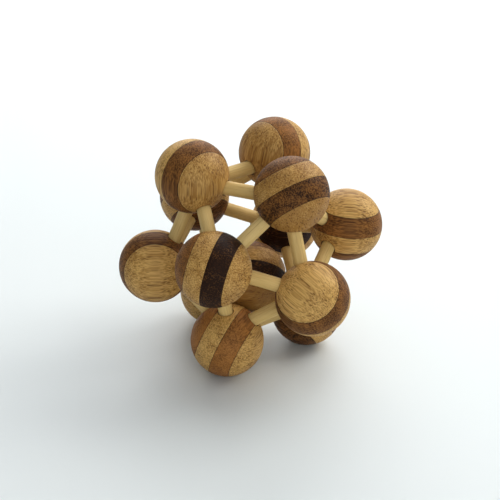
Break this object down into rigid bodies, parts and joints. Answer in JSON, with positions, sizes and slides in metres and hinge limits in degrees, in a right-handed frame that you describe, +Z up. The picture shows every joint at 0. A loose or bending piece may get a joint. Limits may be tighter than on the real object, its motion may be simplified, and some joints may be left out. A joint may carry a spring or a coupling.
{
  "type": "ball-and-dowel burr puzzle",
  "caption": "Take-apart cage puzzle of striped bamboo balls joined by round dowels along the edges of an icosahedron, with one loose ball inside.",
  "frame": {"origin": "on the surface that the puzzle stands on, under the middle of the cage", "axes": "+Z up from the three foot balls to the three top balls; +X from the low_left ball to the high_right ball"},
  "size_m": [0.0914, 0.0824, 0.0787],
  "materials": {
    "light_bamboo": "turned and sanded golden bamboo, satin lacquer",
    "dark_bamboo": "turned and sanded carbonised bamboo, satin lacquer",
    "dowel": "pale bamboo dowel, bare and smooth"
  },
  "bodies": {
    "foot_front": {"foot_front_dark_strips": "dark_bamboo", "foot_front_light_strips": "light_bamboo", "dowel_foot_front_to_foot_back": "dowel"},
    "foot_right": {"foot_right_dark_strips": "dark_bamboo", "foot_right_light_strips": "light_bamboo", "dowel_foot_right_to_foot_front": "dowel", "dowel_foot_right_to_foot_back": "dowel", "dowel_foot_right_to_low_front": "dowel"},
    "foot_back": {"foot_back_dark_strips": "dark_bamboo", "foot_back_light_strips": "light_bamboo", "dowel_foot_back_to_low_left": "dowel", "dowel_foot_back_to_low_back": "dowel", "dowel_foot_back_to_high_back": "dowel"},
    "low_front": {"low_front_dark_strips": "dark_bamboo", "low_front_light_strips": "light_bamboo", "dowel_low_front_to_foot_front": "dowel", "dowel_low_front_to_high_right": "dowel"},
    "low_back": {"low_back_dark_strips": "dark_bamboo", "low_back_light_strips": "light_bamboo", "dowel_low_back_to_foot_right": "dowel", "dowel_low_back_to_high_right": "dowel"},
    "low_left": {"low_left_dark_strips": "dark_bamboo", "low_left_light_strips": "light_bamboo", "dowel_low_left_to_foot_front": "dowel", "dowel_low_left_to_high_front": "dowel"},
    "high_front": {"high_front_dark_strips": "dark_bamboo", "high_front_light_strips": "light_bamboo", "dowel_high_front_to_foot_front": "dowel", "dowel_high_front_to_low_front": "dowel", "dowel_high_front_to_top_left": "dowel"},
    "high_right": {"high_right_dark_strips": "dark_bamboo", "high_right_light_strips": "light_bamboo", "dowel_high_right_to_foot_right": "dowel", "dowel_high_right_to_top_back": "dowel"},
    "high_back": {"high_back_dark_strips": "dark_bamboo", "high_back_light_strips": "light_bamboo", "dowel_high_back_to_low_left": "dowel", "dowel_high_back_to_low_back": "dowel"},
    "top_front": {"top_front_dark_strips": "dark_bamboo", "top_front_light_strips": "light_bamboo", "dowel_top_front_to_low_front": "dowel", "dowel_top_front_to_high_front": "dowel", "dowel_top_front_to_high_right": "dowel", "dowel_top_front_to_top_left": "dowel"},
    "top_back": {"top_back_dark_strips": "dark_bamboo", "top_back_light_strips": "light_bamboo", "dowel_top_back_to_high_back": "dowel", "dowel_top_back_to_low_back": "dowel", "dowel_top_back_to_top_front": "dowel"},
    "top_left": {"top_left_dark_strips": "dark_bamboo", "top_left_light_strips": "light_bamboo", "dowel_top_left_to_low_left": "dowel", "dowel_top_left_to_high_back": "dowel", "dowel_top_left_to_top_back": "dowel"},
    "core": {"core_dark_strips": "dark_bamboo", "core_light_strips": "light_bamboo"}
  },
  "joints": [
    {"name": "foot_right_slide", "type": "slide", "parent": "foot_front", "child": "foot_right", "axis": [0.866, 0.5, 0], "range_m": [0, 0.005]},
    {"name": "foot_back_slide", "type": "slide", "parent": "foot_front", "child": "foot_back", "axis": [0, 1, 0], "range_m": [0, 0.005]},
    {"name": "low_front_slide", "type": "slide", "parent": "foot_front", "child": "low_front", "axis": [0.7558, -0.309, 0.5774], "range_m": [0, 0.005]},
    {"name": "low_back_slide", "type": "slide", "parent": "foot_front", "child": "low_back", "axis": [0.4671, 0.809, 0.3568], "range_m": [0, 0.0081]},
    {"name": "low_left_slide", "type": "slide", "parent": "foot_front", "child": "low_left", "axis": [-0.6455, 0.5, 0.5774], "range_m": [0, 0.005]},
    {"name": "high_front_slide", "type": "slide", "parent": "foot_front", "child": "high_front", "axis": [-0.1784, -0.309, 0.9342], "range_m": [0, 0.005]},
    {"name": "high_right_slide", "type": "slide", "parent": "foot_front", "child": "high_right", "axis": [0.7558, 0.309, 0.5774], "range_m": [0, 0.0081]},
    {"name": "high_back_slide", "type": "slide", "parent": "foot_front", "child": "high_back", "axis": [-0.1103, 0.809, 0.5774], "range_m": [0, 0.0081]},
    {"name": "top_front_slide", "type": "slide", "parent": "foot_front", "child": "top_front", "axis": [0.3568, 0, 0.9342], "range_m": [0, 0.0081]},
    {"name": "top_back_slide", "type": "slide", "parent": "foot_front", "child": "top_back", "axis": [0.3035, 0.5257, 0.7947], "range_m": [0, 0.00952]},
    {"name": "top_left_slide", "type": "slide", "parent": "foot_front", "child": "top_left", "axis": [-0.1784, 0.309, 0.9342], "range_m": [0, 0.0081]},
    {"name": "core_lift", "type": "slide", "parent": "foot_front", "child": "core", "axis": [0, 0, 1], "range_m": [0, 0.0245]}
  ],
  "couplings": [
    {"joint": "foot_back_slide", "follows": "foot_right_slide", "ratio": 1},
    {"joint": "low_front_slide", "follows": "foot_right_slide", "ratio": 1},
    {"joint": "low_back_slide", "follows": "foot_right_slide", "ratio": 1.618},
    {"joint": "low_left_slide", "follows": "foot_right_slide", "ratio": 1},
    {"joint": "high_front_slide", "follows": "foot_right_slide", "ratio": 1},
    {"joint": "high_right_slide", "follows": "foot_right_slide", "ratio": 1.618},
    {"joint": "high_back_slide", "follows": "foot_right_slide", "ratio": 1.618},
    {"joint": "top_front_slide", "follows": "foot_right_slide", "ratio": 1.618},
    {"joint": "top_back_slide", "follows": "foot_right_slide", "ratio": 1.9021},
    {"joint": "top_left_slide", "follows": "foot_right_slide", "ratio": 1.618}
  ]
}
